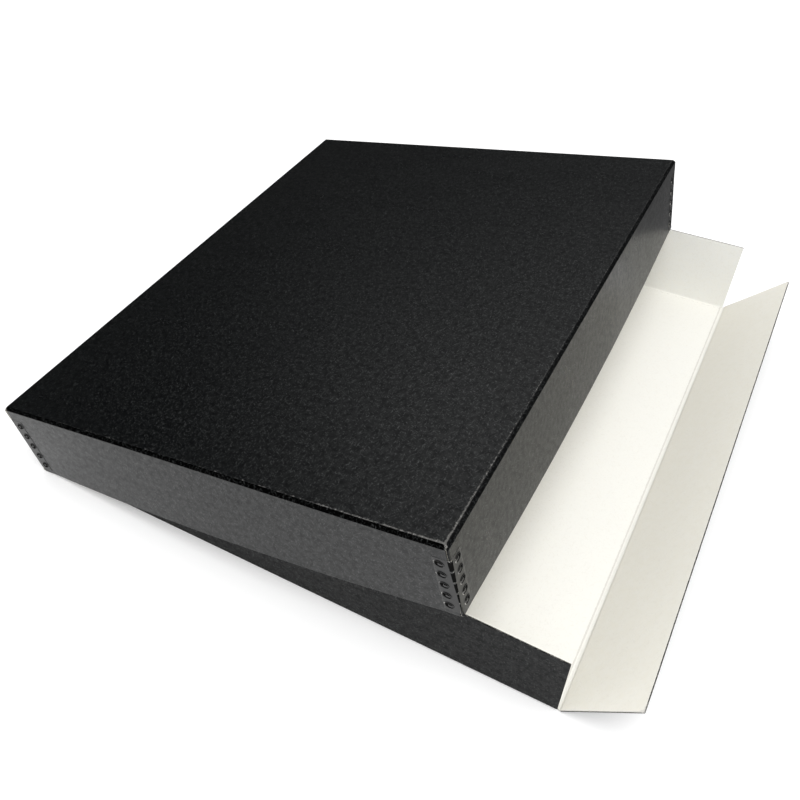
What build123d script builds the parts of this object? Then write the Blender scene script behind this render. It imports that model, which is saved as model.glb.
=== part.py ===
from build123d import *
import os
from math import asin, cos, degrees, radians, sqrt

# A drop-front storage box: a tray of creased board whose front wall falls open, a full-depth lid
# that lifts off it, and steel stays on the corners. The lid stands askew: its back edge is on the
# table behind the tray, and its front wall rests on the tops of the tray's side walls.
#
# The origin is the centre of the tray's underside, +X points at the drop front and +Z is up.
# Lengths are in millimetres and angles in degrees.

# Board
board = 1.5               # thickness of the board
fold_inside = 0.5         # inside radius of every fold

# Tray, inside
tray_length = 520.7       # between the side walls
tray_width = 419.1        # from the back wall to the closed drop front
tray_depth = 76.2         # from the floor to the tops of the walls
lean_clearance = 0.9      # left between a leaning side wall and the lid, where the lid rests on it

# Drop front
front_height = 75.0       # from the crease's axis to the free edge
front_angle = 45.7        # how far it stands up from the table
crease_gap = 0.3          # between the floor's rounded edge and the drop front
closing_gap = 0.4         # between the closed drop front and the ends of the side walls

# Lid
lid_gap = 3.0             # between the tray's walls and the lid's, on every side
lid_lift = 1.2            # from the table to the edge of the closed lid
lid_setback = 81.0        # from the tray's back wall to the lid's back edge, as it stands
rest_gap = 0.3            # between the lid's front wall and the side walls that carry it
lid_side_bow = 5.6        # how far the free edges of the lid's walls belly out
lid_front_bow = 4.6
lid_back_bow = 2.0

# Steel stays
steel = 0.3               # thickness of the strip
stay_wing = 14.0          # width of the strip on each wall
stay_inset = 4.5          # from the wall's free edge to the end of the strip
stay_headroom = 10.0      # least distance from the other end of the strip to the fold
seat_margin = 1.0         # flat board beyond the edge of the strip
tooth_pitch = 12.0
tooth_width = 3.6
tooth_taper = 1.8         # length of the tapered end that pierces the board
tooth_point = 1.2         # width of the blunt point
tooth_edge = 2.7          # from the tip of a tooth's window to the edge of the strip
clinch_length = 1.0       # untapered part of the tongue that lies on the inside of the board
slit_clearance = 0.05     # round a tooth, in the board
crimp_radius = 0.9        # of the tool that presses the crimps across the bend

# Worked out from the above
fold_radius = board + fold_inside
wall_height = tray_depth + board
base_length = tray_length + 2 * board
base_width = tray_width + 2 * board
lid_length = base_length + 2 * (lid_gap + board)
lid_width = base_width + 2 * (lid_gap + board)
lid_depth = wall_height + board - lid_lift
lid_tilt = degrees(asin((wall_height + rest_gap) / (lid_width - board + lid_back_bow)))
lid_back_x = -base_width / 2 - lid_setback
lid_back_z = lid_back_bow * (wall_height + rest_gap) / (lid_width - board + lid_back_bow)
lid_rest_x = lid_back_x + (lid_width - board) * cos(radians(lid_tilt))
seat_length = stay_wing + seat_margin - fold_radius
crease_x = base_width / 2 - board / 2
crease_z = board / 2
side_wall_end = base_width / 2 - board - closing_gap
tooth_length = clinch_length + tooth_taper + board + steel
tooth_root = stay_wing - tooth_edge - tooth_length


def edge_plan(outside):
    """Plan of a wall's edge: `outside` is the run of its outer face, and the inner is one board behind."""
    inside = [Pos(0, -board, 0) * edge for edge in outside]
    start = Line(outside[0] @ 0, inside[0] @ 0)
    end = Line(outside[-1] @ 1, inside[-1] @ 1)
    return make_face([*outside, end, *inside, start])


def straight_runs(breaks):
    """Straight runs of an outer face, one from each break to the next."""
    return [Line((a, 0), (b, 0)) for a, b in zip(breaks, breaks[1:])]


def fold_half(length, start_angle):
    """Half of a rounded fold, 45 degrees of it from `start_angle`, along a wall of this length."""
    outer = CenterArc((-fold_radius, fold_radius), fold_radius, start_angle, 45)
    inner = CenterArc((-fold_radius, fold_radius), fold_inside, start_angle, 45)
    ends = [Line(outer @ 0, inner @ 0), Line(outer @ 1, inner @ 1)]
    return extrude(Plane.YZ * make_face([outer, inner, *ends]), length)


def creased_wall(breaks, free_edge, height):
    """A wall with its half of the fold. It runs along +X, faces +Y, and rises from its fold to its free edge."""
    foot = Pos(0, 0, fold_radius) * edge_plan(straight_runs(breaks))
    top = Pos(0, 0, height) * edge_plan(free_edge)
    return loft([foot, top], ruled=True) + fold_half(breaks[-1], -45)


def bowed_wall(outer_length, height, bow):
    """A wall held flat by a stay at each end, whose free edge bellies out between them."""
    length = outer_length - 2 * fold_radius
    far_seat = length - seat_length
    breaks = [0, seat_length, far_seat, length]
    near, middle, far = straight_runs(breaks)
    belly = ThreePointArc(middle @ 0, (length / 2, bow), middle @ 1)
    return creased_wall(breaks, [near, belly, far], height)


def leaning_wall():
    """A tray side wall: a stay holds it upright at the back, and its top leans out towards the open front."""
    length = side_wall_end + base_width / 2 - fold_radius
    breaks = [0, seat_length, length]
    seat, run = straight_runs(breaks)
    rest = lid_rest_x + base_width / 2 - fold_radius
    lean_at_front = (lid_gap - lean_clearance) * ((length - seat_length) / (rest - seat_length)) ** 2
    halfway = ((seat_length + length) / 2, lean_at_front / 4)
    lean = ThreePointArc(run @ 0, halfway, (length, lean_at_front))
    return creased_wall(breaks, [seat, lean], wall_height)


def wall_planes(width, length):
    """Where the four walls of an upright tray stand: each plane's X runs along its wall and its Y faces out."""
    x = width / 2
    y = length / 2
    return {
        "back": Plane((-x, fold_radius - y, 0), x_dir=(0, 1, 0), z_dir=(0, 0, 1)),
        "front": Plane((x, y - fold_radius, 0), x_dir=(0, -1, 0), z_dir=(0, 0, 1)),
        "left": Plane((x - fold_radius, -y, 0), x_dir=(-1, 0, 0), z_dir=(0, 0, 1)),
        "right": Plane((fold_radius - x, y, 0), x_dir=(1, 0, 0), z_dir=(0, 0, 1)),
    }


def corner_places(width, length):
    """Where the four outside corners of an upright tray stand, turned so that its walls run along +X and +Y."""
    x = width / 2
    y = length / 2
    return {
        "back_left": Pos(-x, -y, 0),
        "front_left": Pos(x, -y, 0) * Rot(0, 0, 90),
        "front_right": Pos(x, y, 0) * Rot(0, 0, 180),
        "back_right": Pos(-x, y, 0) * Rot(0, 0, 270),
    }


def tooth_heights(height):
    """Heights of the teeth of a stay on walls of this height, from the lowest up."""
    count = int((height - stay_inset - stay_headroom) // tooth_pitch)
    top = height - stay_inset
    return [top - (count - k - 0.5) * tooth_pitch for k in range(count)]


def tongue_plan(start, straight, z):
    """A tongue in the plane of a wing: straight from `start`, then tapered to its blunt point."""
    shoulder = start + straight
    point = shoulder + tooth_taper
    root_half = tooth_width / 2
    point_half = tooth_point / 2
    upper = [(start, z + root_half), (shoulder, z + root_half), (point, z + point_half)]
    lower = [(point, z - point_half), (shoulder, z - root_half), (start, z - root_half)]
    return make_face(Polyline(*upper, *lower, close=True))


def on_both_wings(shape):
    """The shape on one wing of a corner, and its mirror image on the other."""
    return [shape, mirror(shape, about=Plane((0, 0, 0), z_dir=(1, -1, 0)))]


def strip_section():
    """Section of the steel strip, folded round an outside corner with the board's thickness as its bend."""
    outer_wings = [
        Line((stay_wing, -steel), (board, -steel)),
        Line((-steel, board), (-steel, stay_wing)),
    ]
    inner_wings = [
        Line((0, stay_wing), (0, board)),
        Line((board, 0), (stay_wing, 0)),
    ]
    bends = [
        CenterArc((board, board), board + steel, 180, 90),
        CenterArc((board, board), board, 180, 90),
    ]
    ends = [
        Line((-steel, stay_wing), (0, stay_wing)),
        Line((stay_wing, 0), (stay_wing, -steel)),
    ]
    return make_face([*outer_wings, *inner_wings, *bends, *ends])


def crimp(z):
    """The dent that is pressed across the bend between two teeth, half as deep as the steel."""
    reach = board + steel / 2 + crimp_radius
    axis_at = board - reach / sqrt(2)
    tool = Cylinder(crimp_radius, 4 * fold_radius, rotation=(0, 90, 0))
    return Pos(axis_at, axis_at, z) * Rot(0, 0, -45) * tool


def tooth(z):
    """A tongue bent in from the wing, through the board, and clinched flat on the inside of it."""
    stem = Pos(tooth_root + steel / 2, (board + steel) / 2, z) * Box(steel, board + steel, tooth_width)
    leaf_plan = Plane.XZ.offset(-board - steel) * tongue_plan(tooth_root, clinch_length, z)
    return stem + extrude(leaf_plan, steel)


def stay(height):
    """A steel stay for the corner of walls of this height, with its teeth, their windows and the crimps."""
    levels = tooth_heights(height)
    foot = levels[0] - tooth_pitch / 2
    strip = extrude(Pos(0, 0, foot) * strip_section(), len(levels) * tooth_pitch)
    window_straight = tooth_length - steel - tooth_taper
    for z in levels:
        window_plan = Plane.XZ * tongue_plan(tooth_root + steel, window_straight, z)
        strip -= on_both_wings(extrude(window_plan, steel))
    for z in levels:
        strip += on_both_wings(tooth(z))
    for z in levels[1:]:
        strip -= crimp(z - tooth_pitch / 2)
    return strip


def slits(height):
    """The slits that the teeth of one stay cut through both walls of its corner."""
    thickness = steel + 2 * slit_clearance
    breadth = tooth_width + 2 * slit_clearance
    cuts = []
    for z in tooth_heights(height):
        place = Pos(tooth_root + steel / 2, board / 2, z)
        cuts += on_both_wings(place * Box(thickness, 2 * board, breadth))
    return cuts


def slit(wall, places, height):
    """The wall with the slits of the stays at these corners."""
    for place in places:
        wall -= [place * cut for cut in slits(height)]
    return wall


def base_tray():
    """The tray's floor and its three fixed walls, with the stays at its back corners."""
    planes = wall_planes(base_width, base_length)
    corners = corner_places(base_width, base_length)
    left, right = corners["back_left"], corners["back_right"]
    back_length = base_length - 2 * fold_radius
    side_length = side_wall_end + base_width / 2 - fold_radius

    floor_start = fold_radius - base_width / 2
    floor = Pos((floor_start + crease_x) / 2, 0, board / 2) * Box(crease_x - floor_start, back_length, board)
    floor += Pos(crease_x, 0, crease_z) * Cylinder(board / 2, back_length, rotation=(90, 0, 0))
    floor += planes["back"] * fold_half(back_length, -90)
    right_fold = planes["right"] * fold_half(side_length, -90)
    floor += [right_fold, mirror(right_fold, about=Plane.XZ)]

    back = planes["back"] * creased_wall([0, back_length], straight_runs([0, back_length]), wall_height)
    side = slit(planes["right"] * leaning_wall(), [right], wall_height)
    return {
        "base_floor": floor,
        "base_back_wall": slit(back, [left, right], wall_height),
        "base_left_wall": mirror(side, about=Plane.XZ),
        "base_right_wall": side,
        "base_left_stay": left * stay(wall_height),
        "base_right_stay": right * stay(wall_height),
    }


def drop_front():
    """The front wall, as long as the tray. It turns about the middle of the board at the crease."""
    start = board / 2 + crease_gap
    panel = Pos((start + front_height) / 2, 0, 0) * Box(front_height - start, base_length, board)
    return Pos(crease_x, 0, crease_z) * Rot(0, -front_angle, 0) * panel


def lid():
    """The lid, made as an upright tray with four walls and four stays, then turned over and set askew."""
    planes = wall_planes(lid_width, lid_length)
    corners = corner_places(lid_width, lid_length)
    runs = {"front": lid_length, "back": lid_length, "left": lid_width, "right": lid_width}
    bows = {"front": lid_front_bow, "back": lid_back_bow, "left": lid_side_bow, "right": lid_side_bow}

    panel = Pos(0, 0, board / 2) * Box(lid_width - 2 * fold_radius, lid_length - 2 * fold_radius, board)
    for side, plane in planes.items():
        panel += plane * fold_half(runs[side] - 2 * fold_radius, -90)
    pieces = {"lid_top_panel": panel}

    for side, plane in planes.items():
        wall = plane * bowed_wall(runs[side], lid_depth, bows[side])
        ends = [place for corner, place in corners.items() if side in corner]
        pieces[f"lid_{turned_over(side)}_wall"] = slit(wall, ends, lid_depth)
    for corner, place in corners.items():
        pieces[f"lid_{turned_over(corner)}_stay"] = place * stay(lid_depth)

    turn = Pos(lid_width / 2, 0, lid_depth) * Rot(180, 0, 0)
    stand = Pos(lid_back_x, 0, lid_back_z) * Rot(0, -lid_tilt, 0)
    return {name: stand * turn * piece for name, piece in pieces.items()}


def turned_over(side):
    """What a side of the upright tray is called once the lid has been turned over about X."""
    if "left" in side:
        return side.replace("left", "right")
    return side.replace("right", "left")


nodes = {**base_tray(), "drop_front": drop_front(), **lid()}
os.makedirs("parts", exist_ok=True)
for name, shape in nodes.items():
    export_step(shape, f"parts/{name}.step")
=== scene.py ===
import math

import bmesh
import bpy
from mathutils import Matrix, Vector, noise
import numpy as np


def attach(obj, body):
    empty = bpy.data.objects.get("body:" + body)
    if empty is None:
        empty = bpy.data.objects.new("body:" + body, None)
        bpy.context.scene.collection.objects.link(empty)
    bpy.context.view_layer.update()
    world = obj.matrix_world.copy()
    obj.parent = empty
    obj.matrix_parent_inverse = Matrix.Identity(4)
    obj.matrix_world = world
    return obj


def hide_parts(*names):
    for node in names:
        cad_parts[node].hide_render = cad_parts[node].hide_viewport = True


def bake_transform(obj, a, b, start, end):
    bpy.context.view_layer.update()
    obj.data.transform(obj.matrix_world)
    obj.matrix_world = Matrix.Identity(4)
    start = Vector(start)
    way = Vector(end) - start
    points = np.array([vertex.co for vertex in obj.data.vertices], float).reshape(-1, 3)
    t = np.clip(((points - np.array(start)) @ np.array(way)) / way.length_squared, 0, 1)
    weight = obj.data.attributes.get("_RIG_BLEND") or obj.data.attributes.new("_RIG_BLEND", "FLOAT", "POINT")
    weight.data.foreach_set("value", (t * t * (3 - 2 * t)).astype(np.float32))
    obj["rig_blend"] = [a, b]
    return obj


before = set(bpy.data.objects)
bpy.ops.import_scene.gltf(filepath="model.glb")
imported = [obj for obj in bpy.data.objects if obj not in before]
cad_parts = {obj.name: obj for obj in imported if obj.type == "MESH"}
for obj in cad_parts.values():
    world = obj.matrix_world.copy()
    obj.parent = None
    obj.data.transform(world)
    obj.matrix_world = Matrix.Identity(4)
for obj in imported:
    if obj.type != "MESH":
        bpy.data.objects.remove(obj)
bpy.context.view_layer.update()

# ------------------------------------------------------------
# Camera. It looks down across the tray's open front from the near right, as a person at the
# table would who has just put the lid back askew.
# ------------------------------------------------------------
camera_place = Vector((0.2276, -0.5323, 0.5732))
camera_forward = Vector((-0.3246, 0.5939, -0.7362)).normalized()
camera_roll = math.radians(-0.825)


def put(name, data):
    """A new object in the scene."""
    made = bpy.data.objects.new(name, data)
    bpy.context.scene.collection.objects.link(made)
    return made


camera_data = bpy.data.cameras.new("camera")
camera_data.sensor_width = 36
camera_data.lens = 36.23
camera_data.shift_x = 0.0033
camera_data.shift_y = 0.038
camera = put("camera", camera_data)
camera.matrix_world = (
    Matrix.Translation(camera_place)
    @ camera_forward.to_track_quat("-Z", "Y").to_matrix().to_4x4()
    @ Matrix.Rotation(camera_roll, 4, "Z")
)
bpy.context.scene.camera = camera
bpy.context.scene.view_settings.view_transform = "Standard"


# ------------------------------------------------------------
# Stage. A wide sheet of white paper on a table in an evenly lit white room, and a soft lamp. Shiny
# surfaces mirror the paper, a dim floor beyond it and one soft glow high up behind the box.
# ------------------------------------------------------------
def joined(nodes, *links):
    """Links sockets in a node tree, given as (from, to) pairs."""
    for start, end in links:
        nodes.id_data.links.new(start, end)


def feed(nodes, node, sources):
    """Links each input named here to its socket, or gives it its number, vector or colour."""
    for name, source in sources.items():
        taken = node.inputs[name]
        if isinstance(source, bpy.types.NodeSocket):
            joined(nodes, (source, taken))
        else:
            taken.default_value = (*source, 1) if taken.type == "RGBA" else source


def value_node(nodes, kind, *sources, clamp=False):
    """A Math node of this kind; each source is a socket or a number."""
    node = nodes.new("ShaderNodeMath")
    node.operation = kind
    node.use_clamp = clamp
    feed(nodes, node, dict(enumerate(sources)))
    return node.outputs[0]


def ramp_node(nodes, source, low, high, start=0.0, end=1.0, kind="SMOOTHSTEP"):
    """`start` where the source is below `low`, `end` above `high`, and smooth or linear between."""
    ramp = nodes.new("ShaderNodeMapRange")
    ramp.interpolation_type = kind
    feed(nodes, ramp, {"Value": source, "From Min": low, "From Max": high, "To Min": start, "To Max": end})
    return ramp.outputs["Result"]


def along_axes(nodes, vector):
    """The X, Y and Z of a vector, as sockets."""
    split = nodes.new("ShaderNodeSeparateXYZ")
    joined(nodes, (vector, split.inputs[0]))
    return split.outputs


def ray_masks(nodes):
    """The rays that the camera sends, and those that shiny surfaces send on."""
    rays = nodes.new("ShaderNodeLightPath").outputs
    mirrored = value_node(nodes, "MAXIMUM", rays["Is Glossy Ray"], rays["Is Transmission Ray"])
    return rays["Is Camera Ray"], mirrored


def new_finish(name):
    """A new material with its nodes and its shader."""
    made = bpy.data.materials.new(name)
    made.use_nodes = True
    nodes = made.node_tree.nodes
    return made, nodes, nodes["Principled BSDF"]


paper_lift = 0.175
paper_white = 0.9
paper_dimmed = 0.2
table_size = 4.0
sheet_end = 0.36
sheet_fade = 0.06

table_mesh = bpy.data.meshes.new("table_paper")
table_mesh.from_pydata(
    [(x * table_size, y * table_size, 0) for x, y in ((-1, -1), (1, -1), (1, 1), (-1, 1))],
    [],
    [(0, 1, 2, 3)],
)
table = put("table_paper", table_mesh)

table_paper, nodes, principled = new_finish("table_paper")
from_camera, mirrored = ray_masks(nodes)
place = along_axes(nodes, nodes.new("ShaderNodeTexCoord").outputs["Object"])
beyond = ramp_node(nodes, place["Y"], sheet_end, sheet_end + sheet_fade)
dimmed = value_node(nodes, "MULTIPLY", beyond, mirrored)
shade = ramp_node(nodes, dimmed, 0, 1, paper_white, paper_dimmed, "LINEAR")
strength = ramp_node(nodes, dimmed, 0, 1, paper_lift, 0.0, "LINEAR")
seen = value_node(nodes, "MAXIMUM", from_camera, mirrored)
feed(nodes, principled, {
    "Base Color": shade,
    "Roughness": 0.9,
    "Specular IOR Level": 0.1,
    "Emission Color": (1, 1, 1),
    "Emission Strength": value_node(nodes, "MULTIPLY", seen, strength),
})
table_mesh.materials.append(table_paper)

room_light = 0.92
mirrored_glow = 1.9
mirrored_floor = 0.27
horizon_low = 0.008
horizon_top = 0.02
glow_behind = (0.36, 0.56)
glow_beside = (-0.86, -0.58)
glow_above = (0.36, 0.82)

world = bpy.data.worlds.new("room")
bpy.context.scene.world = world
world.use_nodes = True
world.cycles.sampling_method = "NONE"
nodes = world.node_tree.nodes
from_camera, mirrored = ray_masks(nodes)
direction = along_axes(nodes, nodes.new("ShaderNodeTexCoord").outputs["Generated"])
behind = ramp_node(nodes, direction["Y"], *glow_behind, 0.0, mirrored_glow)
beside = ramp_node(nodes, direction["X"], *glow_beside)
above = ramp_node(nodes, direction["Z"], *glow_above)
glow = value_node(nodes, "MULTIPLY", value_node(nodes, "MULTIPLY", behind, beside), above)
horizon = ramp_node(nodes, direction["Z"], horizon_low, horizon_top, mirrored_floor, 0.0, "LINEAR")
mirror_level = value_node(nodes, "MAXIMUM", glow, horizon)
level = ramp_node(nodes, mirrored, 0, 1, room_light, mirror_level, "LINEAR")
level = value_node(nodes, "MAXIMUM", level, from_camera)
feed(nodes, nodes["Background"], {"Color": (1, 1, 1), "Strength": level})


def soft_lamp(name, place, aim, size, power):
    """A square softbox that points at `aim`."""
    lamp = bpy.data.lights.new(name, "AREA")
    lamp.shape = "SQUARE"
    lamp.size = size
    lamp.energy = power
    box = put(name, lamp)
    box.location = place
    box.rotation_euler = (Vector(aim) - Vector(place)).to_track_quat("-Z", "Y").to_euler()


soft_lamp("overhead_softbox", (0.45, -0.5, 1.75), (0.0, 0.0, 0.0), 1.5, 18)


# ------------------------------------------------------------
# Finishes of the board. Solid board with black paper laminated outside and a cream liner inside;
# its cut edges show the pale core between the two. The fibres of all three follow the sheet.
# ------------------------------------------------------------
def weighed(nodes, start, *parts):
    """A start value plus each socket times its weight, given as (socket, weight) pairs."""
    for socket, weight in parts:
        start = value_node(nodes, "MULTIPLY_ADD", socket, weight, start)
    return start


def noise_node(nodes, vector, scale, detail=3.0, stretch=None, turn=0.0):
    """Noise of this scale, drawn out along the sheet if `stretch` is given."""
    if stretch:
        mapping = nodes.new("ShaderNodeMapping")
        mapping.vector_type = "TEXTURE"
        feed(nodes, mapping, {"Vector": vector, "Scale": stretch, "Rotation": (0, 0, turn)})
        vector = mapping.outputs["Vector"]
    texture = nodes.new("ShaderNodeTexNoise")
    feed(nodes, texture, {"Vector": vector, "Scale": scale, "Detail": detail})
    return texture.outputs["Fac"]


def colour_mix(nodes, share, a, b):
    """Colour a where the share is 0 and b where it is 1; each is a socket or three numbers. A Mix
    node's colour sockets share their names with others: they are inputs 6 and 7 and output 2."""
    mix = nodes.new("ShaderNodeMix")
    mix.data_type = "RGBA"
    feed(nodes, mix, {"Factor": share, 6: a, 7: b})
    return mix.outputs[2]


def node_group(name, kind, takes, gives):
    """A new node group and its nodes, with the sockets that it takes and gives, each name with its kind."""
    group = bpy.data.node_groups.new(name, kind)
    for in_out, sockets in (("INPUT", takes), ("OUTPUT", gives)):
        for socket, socket_kind in sockets.items():
            group.interface.new_socket(socket, in_out=in_out, socket_type="NodeSocket" + socket_kind)
    given = group.nodes.new("NodeGroupInput").outputs
    return group, group.nodes, given, group.nodes.new("NodeGroupOutput").inputs


# How paper looks close up: cloudy patches where the pulp lies thicker, short fibres, fine tooth.
paper_fibres, nodes, given, result = node_group(
    "paper_fibres", "ShaderNodeTree",
    {"Sheet": "Vector"}, {"Clouds": "Float", "Fibres": "Float", "Height": "Float"},
)
sheet_in = given["Sheet"]
clouds = noise_node(nodes, sheet_in, 190, 7.0)
fibres = noise_node(nodes, sheet_in, 900, 2.0, (3.2, 1, 1), 0.5)
for scale, stretch, turn in ((900, 3.2, 2.3), (800, 3.0, 1.45)):
    crossing = noise_node(nodes, sheet_in, scale, 2.0, (stretch, 1, 1), turn)
    fibres = value_node(nodes, "MAXIMUM", fibres, crossing)
fine_tooth = noise_node(nodes, sheet_in, 2600, 2.0)
joined(
    nodes,
    (ramp_node(nodes, clouds, 0.27, 0.73), result["Clouds"]),
    (ramp_node(nodes, fibres, 0.58, 0.74), result["Fibres"]),
    (weighed(nodes, 0.0, (fibres, 0.7), (fine_tooth, 0.5)), result["Height"]),
)

# Where a finish wears through: the edges and creases that the piece marks, in patches. The same
# mark also paints highlights and grey shade lines into the colour, so these are partly painted light.
# Above 2 the paper is torn to its white fibres; below 0 the fold is painted dark, as painted shade.
wear_and_light_marks, nodes, given, result = node_group(
    "wear_and_light_marks", "ShaderNodeTree",
    {"Place": "Vector", "WearLightMark": "Float", "Patch": "Float"},
    {"WearAndLight": "Float", "Torn": "Float", "FoldShade": "Float"},
)
patch = nodes.new("ShaderNodeTexNoise")
feed(nodes, patch, {"Vector": given["Place"], "Scale": given["Patch"], "Detail": 6.0, "Roughness": 0.65})
wear_light_level = weighed(nodes, patch.outputs["Fac"], (given["WearLightMark"], 0.34))
joined(
    nodes,
    (ramp_node(nodes, wear_light_level, 0.74, 0.9), result["WearAndLight"]),
    (ramp_node(nodes, wear_light_level, 1.28, 1.5), result["Torn"]),
    (value_node(nodes, "MULTIPLY", given["WearLightMark"], -1.0, clamp=True), result["FoldShade"]),
)


def sheet_finish(name):
    """A new finish with the place on the sheet that its patterns follow, and the paper's fibres there."""
    made, nodes, principled = new_finish(name)
    sheet = nodes.new("ShaderNodeAttribute")
    sheet.attribute_name = "sheet"
    fibres = nodes.new("ShaderNodeGroup")
    fibres.node_tree = paper_fibres
    feed(nodes, fibres, {"Sheet": sheet.outputs["Vector"]})
    return made, nodes, principled, sheet.outputs["Vector"], fibres.outputs


def wear_light_mask(nodes, place, patch_scale, mask="WearAndLight"):
    """One of three masks from the piece's own mark: wear, which also carries painted highlights and painted
    shade lines; torn paper; and the painted shade along the folds.
    """
    wear_light = nodes.new("ShaderNodeAttribute")
    wear_light.attribute_name = "wear_light"
    group = nodes.new("ShaderNodeGroup")
    group.node_tree = wear_and_light_marks
    feed(nodes, group, {"Place": place, "WearLightMark": wear_light.outputs["Fac"], "Patch": patch_scale})
    return group.outputs[mask]


def bump_node(nodes, height, depth):
    """A bump of this depth in metres."""
    bump = nodes.new("ShaderNodeBump")
    feed(nodes, bump, {"Strength": 1.0, "Distance": depth, "Height": height})
    return bump.outputs["Normal"]


def black_paper(name, thin, thick, sheen, roughness):
    """Black paper: its colours where the pulp lies thin and thick, its shine and its roughness."""
    made, nodes, principled, sheet_place, fibres = sheet_finish(name)
    wear_light_level, torn, fold_shade = (wear_light_mask(nodes, sheet_place, 420, mask) for mask in ("WearAndLight", "Torn", "FoldShade"))
    streaky = value_node(nodes, "MULTIPLY", wear_light_level, weighed(nodes, 0.35, (fibres["Fibres"], 0.6)))
    colour = colour_mix(nodes, fibres["Clouds"], thin, thick)
    for share, tone in (
        # Painted shade: the folds are painted nearly black.
        (fold_shade, (0.0008, 0.0008, 0.0008)),
        (value_node(nodes, "MULTIPLY", fibres["Fibres"], 0.5), (0.05, 0.053, 0.053)),
        # Lighter where there is wear; along the folds this is also a painted highlight.
        (streaky, (0.26, 0.255, 0.24)),
        (torn, (0.5, 0.49, 0.46)),
    ):
        colour = colour_mix(nodes, share, colour, tone)
    shine = weighed(nodes, 0.72, (fibres["Clouds"], 0.45), (fibres["Fibres"], 0.8))
    # The folds' painted shade also takes their shine away.
    shine = value_node(nodes, "MULTIPLY", shine, value_node(nodes, "SUBTRACT", 1.0, fold_shade))
    streaks = noise_node(nodes, sheet_place, 60, 3.0, (6, 1, 1))
    feed(nodes, principled, {
        "Base Color": colour,
        "Roughness": weighed(nodes, roughness, (fibres["Clouds"], -0.05), (streaks, 0.1), (wear_light_level, 0.25)),
        "Specular IOR Level": value_node(nodes, "MULTIPLY", shine, sheen),
        "Normal": bump_node(nodes, fibres["Height"], 0.00002),
    })
    return made


black_pulp = (0.0009, 0.0012, 0.0016), (0.0035, 0.0042, 0.0044)
# The tray's copy has less shine and more roughness than the lid's, so that its walls come out darker:
# painted shade for the shaded table they mirror.
tray_paper = black_paper("tray_black_paper", *black_pulp, 0.12, 0.52)
lid_paper = black_paper("lid_black_paper", *black_pulp, 0.25, 0.28)


past_front_crease = (0.2112, 0.2136)
past_side_folds = (0.2602, 0.2632)


def cream_liner(name, kept, front_colour, walls):
    """The cream liner: its colour on the bottom, a yellower one on the front, and a cooler, whiter one on
    the side walls as painted cool light.
    """
    made, nodes, principled, sheet_place, fibres = sheet_finish(name)
    sheet_parts = along_axes(nodes, sheet_place)
    colour = colour_mix(nodes, ramp_node(nodes, sheet_parts["X"], *past_front_crease), kept, front_colour)
    # Painted light: the side walls get a cooler, whiter liner, standing in for the cool light that falls on
    # them.
    from_middle = value_node(nodes, "ABSOLUTE", sheet_parts["Y"])
    on_side_wall = ramp_node(nodes, from_middle, *past_side_folds)
    colour = colour_mix(nodes, on_side_wall, colour, walls)
    for pattern, share, tone in (
        (fibres["Clouds"], 0.4, (0.92, 0.908, 0.85)),
        (fibres["Fibres"], 0.3, (0.77, 0.745, 0.68)),
        # Darker with wear; the same mask also paints grey shade lines beside the folds and the front crease.
        (wear_light_mask(nodes, sheet_place, 300), 0.6, (0.6, 0.58, 0.53)),
    ):
        colour = colour_mix(nodes, value_node(nodes, "MULTIPLY", pattern, share), colour, tone)
    feed(nodes, principled, {
        "Base Color": colour,
        "Roughness": weighed(nodes, 0.6, (fibres["Clouds"], 0.1)),
        "Normal": bump_node(nodes, fibres["Height"], 0.00003),
    })
    return made


tray_liner = cream_liner("tray_cream_liner", (0.9, 0.892, 0.845), (0.885, 0.862, 0.775), (0.9, 0.902, 0.87))
lid_liner = cream_liner("lid_cream_liner", *[(0.86, 0.8, 0.64)] * 3)

pale_core, nodes, principled, sheet_place, fibres = sheet_finish("pale_core")
plies = noise_node(nodes, sheet_place, 40, 2.0, (1, 1, 0.006))
colour = colour_mix(nodes, ramp_node(nodes, plies, 0.35, 0.65), (0.72, 0.69, 0.6), (0.83, 0.81, 0.74))
wear_light_level = value_node(nodes, "MULTIPLY", wear_light_mask(nodes, sheet_place, 900), 0.6)
colour = colour_mix(nodes, wear_light_level, colour, (0.3, 0.29, 0.27))
feed(nodes, principled, {
    "Base Color": colour,
    "Roughness": 0.85,
    "Normal": bump_node(nodes, fibres["Height"], 0.00008),
})


# ------------------------------------------------------------
# Tray floor. The middle of the tray's blank of 1.5 mm board, creased on three sides where the
# walls fold up, with the bead of the crease standing inside each fold. It lies on the table.
# ------------------------------------------------------------
board = 0.0015
fold_inside = 0.0005
fold_radius = board + fold_inside
half_fold_run = (fold_inside + board / 2) * math.pi / 4
fold_bevel = 0.0024
layer_depths = (0, 0.0001, 0.00028, 0.0006, 0.001, 0.00136, 0.00142, 0.0015)
paper_layers = 3
core_layers = 5
cut_edge_radius = 0.00012
bead_rise = 0.00034
bead_reach = 0.0013
fold_steps = 6
panel_step = 0.006
wear_and_highlight_line = 0.001
wear_and_highlight_width = 0.0008
worn_corner = 0.0035
handled_reach = 0.03
gripped_reach = 0.11
gripped_line_width = 0.0009
gripped_fade = 0.007
# Grey lines painted on the liner beside each fold, as painted shade from the crease.
liner_shade_line = 0.0034
liner_shade_line_width = 0.0007
torn_edge_and_shade_line = 0.0006
# How close to a fold its painted shade reaches, and how dark it is painted at the side folds and the cross
# folds.
shaded_fold_reach = 0.0005
side_fold_shade = -1.0
cross_fold_shade = -0.55
held_flat = 0.03
near_fold = (0, 0.0004, 0.0009, 0.0016, 0.0026, 0.004)
near_cut = (0, 0.00012, 0.0003, 0.0008, 0.002)

tray_length = 0.5207 + 2 * board
tray_width = 0.4191 + 2 * board
crease_x = tray_width / 2 - board / 2
crease_z = board / 2
crease_half = 0.0022


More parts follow.
